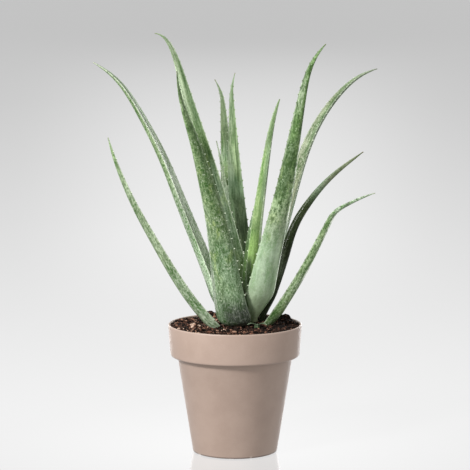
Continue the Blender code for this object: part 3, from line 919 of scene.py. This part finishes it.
# Soil from its darkest to its palest crumb, and its red bark.
SOIL_TONES = (
    (0.15, (0.004, 0.003, 0.002)),
    (0.36, (0.018, 0.01, 0.007)),
    (0.52, (0.065, 0.028, 0.018)),
    (0.66, (0.17, 0.078, 0.05)),
    (0.8, (0.36, 0.2, 0.135)),
    (0.93, (0.66, 0.48, 0.37)),
)
RED_BARK = (0.42, 0.22, 0.14)


def soil_height(x, y):
    """The height of the soil's lumpy surface at a point."""
    heap = HEAP_HEIGHT * (1 - smooth_step(math.hypot(x - PLANT_X, y - PLANT_Y) / HEAP_RADIUS))
    lumps = noise.noise(Vector((x, y, 0)) / LUMP_SIZE)
    lumps += 0.5 * noise.noise(Vector((x, y, 1)) / LUMP_SIZE * 2)
    from_wall = smooth_step((RIM_RADIUS - math.hypot(x, y)) / WALL_MARGIN)
    flattening = LUMPS_AT_WALL + (1 - LUMPS_AT_WALL) * from_wall
    mounds = 0.0
    for middle_x, middle_y, spread, rise, _ in MOUNDS:
        away = math.hypot(x / MM - middle_x, y / MM - middle_y) / spread
        mounds += rise * MM * math.exp(-away * away * MOUND_STEEPNESS)
    return SOIL_LEVEL + heap + mounds * from_wall + LUMP_HEIGHT * lumps * flattening


def grainy_height(x, y):
    """The same surface with its grain."""
    grain = noise.noise(Vector((x, y, 2 * MM)) / GRAIN_SIZE)
    fine_grain = noise.noise(Vector((x, y, 5 * MM)) / FINE_GRAIN_SIZE)
    return soil_height(x, y) + GRAIN_HEIGHT * grain + FINE_GRAIN_HEIGHT * fine_grain


def painted_soil_shade(x):
    """Painted shade: how light the soil is from left to right, darker away from the key light."""
    shaded = smooth_step((x / MM - SOIL_LIT_SIDE) / (SOIL_SHADED_SIDE - SOIL_LIT_SIDE))
    return SOIL_LIT_TONE - (SOIL_LIT_TONE - SOIL_SHADED_TONE) * shaded


def potting_soil():
    """Dark moist soil with specks of red bark and pale fibre."""
    finish = new_finish("potting_soil")
    tint = finish.parts("soil_tint")[0]
    place = finish.place()
    grit = finish.noise(place, 900.0, 3.0, 0.7)
    speck, drawn = finish.cells(place, 520.0)
    tone = finish.ramp(tint * 0.75 + grit * 0.25, SOIL_TONES)
    bark = finish.fade(drawn, 0.8, 0.88) * finish.fade(speck, 0.5, 0.2)
    return finish.surface(
        Base_Color=finish.mix(bark * 0.6, tone, RED_BARK),
        Roughness=0.75 + grit * 0.2,
        Normal=finish.bump(grit, 0.6 * MM, 0.8),
        Specular_IOR_Level=0.15,
    )


def add_soil():
    """The soil's surface, closed down to the pot's floor, and the loose crumbs on it."""
    mesh = new_mesh("soil_tint")
    tint = mesh.verts.layers.float_vector["soil_tint"]
    outline = [(radius * MM, height * MM) for radius, height in SOIL_WALLS]
    outline += [(SOIL_RADIUS * (1 - i / SOIL_RINGS), None) for i in range(SOIL_RINGS)]
    rings = []
    for radius, height in outline:
        ring = []
        for i in range(SOIL_SEGMENTS):
            turn = 2 * math.pi * i / SOIL_SEGMENTS
            x = radius * math.cos(turn)
            y = radius * math.sin(turn)
            corner = mesh.verts.new((x, y, grainy_height(x, y) if height is None else height))
            spot = noise.noise(Vector((x, y, 0)) / SPOT_SIZE)
            # Random spots, darkened towards the right by painted shade.
            corner[tint] = ((0.4 + 0.5 * spot) * painted_soil_shade(x), 0, 0)
            ring.append(corner)
        rings.append(ring)
    join_rings(mesh, rings)
    close_ends(mesh, rings)
    material = potting_soil()
    add_piece("soil_bed", mesh, material, "soil", sharp=180)
    add_crumbs(material)


@cache
def ball(subdivisions):
    """The corners and faces of a ball of radius 1."""
    mesh = bmesh.new()
    bmesh.ops.create_icosphere(mesh, subdivisions=subdivisions, radius=1.0)
    mesh.verts.index_update()
    corners = [corner.co.copy() for corner in mesh.verts]
    faces = [[corner.index for corner in face.verts] for face in mesh.faces]
    mesh.free()
    return corners, faces


def add_crumb(mesh, draw, number, centre, size, shade):
    """One rough crumb, stretched and turned by chance."""
    tint = mesh.verts.layers.float_vector["soil_tint"]
    corners, faces = ball(2 if size > FINE_CRUMB else 1)
    stretch = Vector([draw.uniform(*limits) for limits in CRUMB_STRETCH]) * size
    turn = Matrix.Rotation(draw.uniform(0, math.pi), 3, "Z")
    spin = turn @ Matrix.Rotation(draw.uniform(-CRUMB_TILT, CRUMB_TILT), 3, "X")
    made = []
    for place in corners:
        rough = 1 + CRUMB_ROUGHNESS * noise.noise(place * 1.3 + Vector((number, 0, 0)))
        corner = mesh.verts.new(centre + spin @ (place * stretch) * rough)
        corner[tint] = (shade, 0, 0)
        made.append(corner)
    for face in faces:
        mesh.faces.new([made[i] for i in face])


def add_crumbs(material):
    """Loose crumbs of soil, bark and fibre scattered over the bed, with more of them on its mounds."""
    draw = random.Random(CRUMB_SEED)
    mesh = new_mesh("soil_tint")
    for number in range(CRUMB_COUNT):
        radius = CRUMB_EDGE * math.sqrt(draw.random())
        turn = draw.uniform(0, 2 * math.pi)
        x = radius * math.cos(turn)
        y = radius * math.sin(turn)
        size = SMALL_CRUMB + (LARGE_CRUMB - SMALL_CRUMB) * draw.random() ** 4
        # The crumbs take the same painted shade from left to right.
        shade = (0.1 + 0.9 * draw.random() ** 2.1) * painted_soil_shade(x)
        add_crumb(mesh, draw, number, Vector((x, y, grainy_height(x, y) + size * 0.25)), size, shade)
    for number, (x, y, spread, _, lightness) in enumerate(MOUNDS, CRUMB_COUNT):
        for _ in range(CRUMBS_A_MOUND):
            away = Vector((draw.gauss(0, 1), draw.gauss(0, 1), 0)) * spread * MM * 0.4
            place = Vector((x * MM, y * MM, 0)) + away
            place.z = soil_height(place.x, place.y) + draw.uniform(0.0, 0.8) * MM
            if math.hypot(place.x, place.y) < MOUND_CRUMB_EDGE:
                shade = lightness * (0.3 + 0.9 * draw.random())
                add_crumb(mesh, draw, number, place, draw.uniform(*MOUND_CRUMB_SIZES) * MM, shade)
                number += 0.37
    add_piece("soil_crumbs", mesh, material, sharp=35)


# Pot

POT_SEGMENTS = 180
DRAIN_HOLES = 6
DRAIN_HOLE_RADIUS = 3.5 * MM
DRAIN_CIRCLE_RADIUS = 22.5 * MM
DRILL_HEIGHT = 4.2 * MM
DRILL_LENGTH = 8.0 * MM
DRILL_SEGMENTS = 32

TAUPE = (0.395, 0.29, 0.235)
PALE_TAUPE = (0.43, 0.32, 0.262)
PALE_GRAIN = (0.55, 0.44, 0.37)
# Painted contact shade where the pot meets the floor.
FOOT_CONTACT_SHADE = (0.12, 0.09, 0.075)
SCUFF_COLOUR = (0.72, 0.62, 0.55)

# The pot's outline from the middle of its underside, up its outside and down its inside, in millimetres: the
# radius with the height over the table, and for the collar the radius with the depth below the rim.
FOOT_OUTLINE = ((0, 0), (13, 0), (14, 3), (31.1, 3), (32.1, 0), (36.9, 0), (37.7, 0.35), (38.1, 1.2))
COLLAR_OUTLINE = (
    (51.6, 29.1), (51.8, 28.8), (52.3, 28.6), (56.0, 28.5), (56.8, 28.3), (57.4, 27.9), (57.8, 27.3),
    (58.0, 26.5), (59.95, 1.4), (59.9, 0.7), (59.6, 0.2), (59.2, 0.0), (58.9, 0.0), (58.4, 0.2), (58.1, 0.8),
    (56.1, 23.5), (55.8, 25.0), (54.9, 25.9), (50.6, 26.4), (49.7, 26.8), (49.3, 27.6),
)
INNER_OUTLINE = ((36.3, 6.6), (35.4, 5.6), (34.3, 5.4), (0, 5.4))


def matte_plastic():
    """Matte taupe plastic: faint cloud, fine grain, painted contact shade round its foot ring, scuffs over
    it.
    """
    finish = new_finish("matte_taupe")
    place = finish.place()
    height = finish.split(place)[2]
    cloud = finish.noise(place, 45.0, 3.0, 0.6)
    grain = finish.noise(place, 1500.0, 2.0)
    colour = finish.mix(finish.fade(cloud, 0.3, 0.7), TAUPE, PALE_TAUPE)
    colour = finish.mix(finish.fade(grain, 0.45, 0.75) * 0.12, colour, PALE_GRAIN)
    # Painted contact shade: the lowest two millimetres darken where the pot stands on the floor.
    colour = finish.mix(finish.fade(height, 1.9 * MM, 0.9 * MM) * 0.75, colour, FOOT_CONTACT_SHADE)
    scuff = finish.fade(finish.noise(place, 160.0, 3.0), 0.56, 0.66)
    scuff = scuff * finish.fade(height, 3.0 * MM, 0.5 * MM)
    return finish.surface(
        Base_Color=finish.mix(scuff * 0.6, colour, SCUFF_COLOUR),
        Roughness=0.4 + cloud * 0.1,
        Normal=finish.bump(grain * 0.6 + cloud, 0.05 * MM, 0.35),
    )


def add_pot():
    """The moulded pot, turned from its outline, with its drain holes."""
    mesh = new_mesh()
    rings = []
    collar = tuple((radius, POT_HEIGHT / MM - depth) for radius, depth in COLLAR_OUTLINE)
    for radius, height in FOOT_OUTLINE + collar + INNER_OUTLINE:
        if radius == 0:
            rings.append([mesh.verts.new((0, 0, height * MM))] * POT_SEGMENTS)
            continue
        ring = []
        for i in range(POT_SEGMENTS):
            turn = 2 * math.pi * i / POT_SEGMENTS
            corner = (radius * math.cos(turn) * MM, radius * math.sin(turn) * MM, height * MM)
            ring.append(mesh.verts.new(corner))
        rings.append(ring)
    join_rings(mesh, rings)
    pot = add_piece("pot_shell", mesh, matte_plastic(), "pot", sharp=40)
    drill_holes(pot)


def drill_holes(pot):
    """Cuts the drain holes through the pot's floor."""
    drill = new_mesh()
    for i in range(DRAIN_HOLES):
        turn = 2 * math.pi * i / DRAIN_HOLES
        x = math.cos(turn) * DRAIN_CIRCLE_RADIUS
        y = math.sin(turn) * DRAIN_CIRCLE_RADIUS
        bmesh.ops.create_cone(
            drill,
            cap_ends=True,
            segments=DRILL_SEGMENTS,
            radius1=DRAIN_HOLE_RADIUS,
            radius2=DRAIN_HOLE_RADIUS,
            depth=DRILL_LENGTH,
            matrix=Matrix.Translation((x, y, DRILL_HEIGHT)),
        )
    cutter = new_object("drill", finished_mesh("drill", drill))
    cut = pot.modifiers.new("Drain holes", "BOOLEAN")
    cut.operation = "DIFFERENCE"
    cut.object = cutter
    drilled = bpy.data.meshes.new_from_object(pot.evaluated_get(bpy.context.evaluated_depsgraph_get()))
    pot.modifiers.clear()
    pot.data = drilled
    bpy.data.objects.remove(cutter)


# Studio

# The camera stands in front of the pot, a little above the plant's middle: its place in metres, its tilt
# down in degrees, its lens and its sensor in millimetres.
CAMERA_PLACE = (0, -2.0, 0.4547)
CAMERA_TILT = 7.37
CAMERA_LENS = 172.8
SENSOR_WIDTH = 36.0

# Softboxes that face LIGHT_AIM: place, size in metres, power in watts and spread in degrees.
LIGHT_AIM = Vector((0, 0, 0.2))
LIGHTS = {
    "key": ((-1.3, -1.45, 1.37), 0.4, 54.0, 180),
    "left_rim": ((-0.75, 1.9, 0.4), 0.5, 0.6, 50),
    "right_rim": ((0.75, 1.9, 0.4), 0.5, 0.9, 50),
}

# Brightness of the floor against one over its distance from the pot and FLOOR_REACH, in metres.
FLOOR_HALF_SIZE = 60.0
FLOOR_REACH = 2.0
FLOOR_STOPS = (
    (0.03, 0.152), (0.0547, 0.175), (0.152, 0.238), (0.2515, 0.338), (0.352, 0.435), (0.4505, 0.545),
    (0.512, 0.67),
)

# The glow on the floor. It narrows towards a point GLOW_POINT metres in front of the pot.
FLOOR_GLOW = 0.2
GLOW_POINT = 2.0

# Brightness of the surround by the sine of the angle over the horizon.
SURROUND_STOPS = (
    (-1, 0.48), (-0.04, 0.48), (0.0, 0.42), (0.04, 0.43), (0.12, 0.68), (0.2, 0.92), (0.3, 0.95),
    (0.45, 0.8), (0.7, 0.75), (1, 0.7),
)


def greys(stops):
    """Stops of a ramp, from places and brightnesses."""
    return [(position, (grey, grey, grey)) for position, grey in stops]


def pale_floor():
    """A glowing floor, its painted light brightest round the pot and greyer far off, with a faint glow
    behind the plant.
    """
    finish = new_finish("pale_floor")
    place = finish.place()
    x, y, _ = finish.split(place)
    away = finish.out(finish.add("VectorMath", {"operation": "LENGTH"}, {0: place}), "Value")
    light = finish.ramp(1.0 / (away + FLOOR_REACH), greys(FLOOR_STOPS))
    beside = finish.fade(abs(x) / (y + GLOW_POINT), 0.11, 0.02)
    glow = beside * finish.fade(y, 0.3, 1.6) * finish.fade(y, 9.0, 2.5) * FLOOR_GLOW
    return finish.surface(
        Base_Color=(0.05, 0.05, 0.05),
        Roughness=0.04,
        Emission_Color=finish.mix(glow, light, (1, 1, 1)),
        Emission_Strength=1.0,
    )


def add_floor():
    """A wide floor under the pot."""
    mesh = new_mesh()
    bmesh.ops.create_grid(mesh, x_segments=8, y_segments=8, size=FLOOR_HALF_SIZE)
    data = finished_mesh("floor", mesh)
    data.materials.append(pale_floor())
    floor = new_object("floor", data)
    floor.visible_diffuse = False


def add_lights():
    """A soft key light from the upper left and two faint ones from behind."""
    for name, (place, size, power, spread) in LIGHTS.items():
        light = bpy.data.lights.new(name, "AREA")
        light.size = size
        light.energy = power
        light.spread = math.radians(spread)
        lamp = new_object(name, light)
        lamp.location = place
        lamp.rotation_euler = (LIGHT_AIM - Vector(place)).to_track_quat("-Z", "Y").to_euler()


def add_surround():
    """A pale surround that is brightest a little over the horizon, like a lit backdrop."""
    finish = Finish(bpy.data.worlds.new("surround"), "Background")
    direction = finish.out(finish.add("TexCoord"), "Generated")
    height = finish.split(direction)[2]
    stops = [(position * 0.5 + 0.5, grey) for position, grey in SURROUND_STOPS]
    bpy.context.scene.world = finish.surface(Color=finish.ramp(height * 0.5 + 0.5, greys(stops)))
    bpy.context.scene.view_settings.view_transform = "Standard"


def add_camera():
    data = bpy.data.cameras.new("camera")
    data.sensor_width = SENSOR_WIDTH
    data.lens = CAMERA_LENS
    camera = new_object("camera", data)
    camera.location = CAMERA_PLACE
    camera.rotation_euler = (math.radians(90 - CAMERA_TILT), 0, 0)
    bpy.context.scene.camera = camera


def main():
    add_camera()
    add_lights()
    add_surround()
    add_floor()
    add_leaves()
    add_pup()
    finish_stem()
    add_soil()
    add_pot()


main()
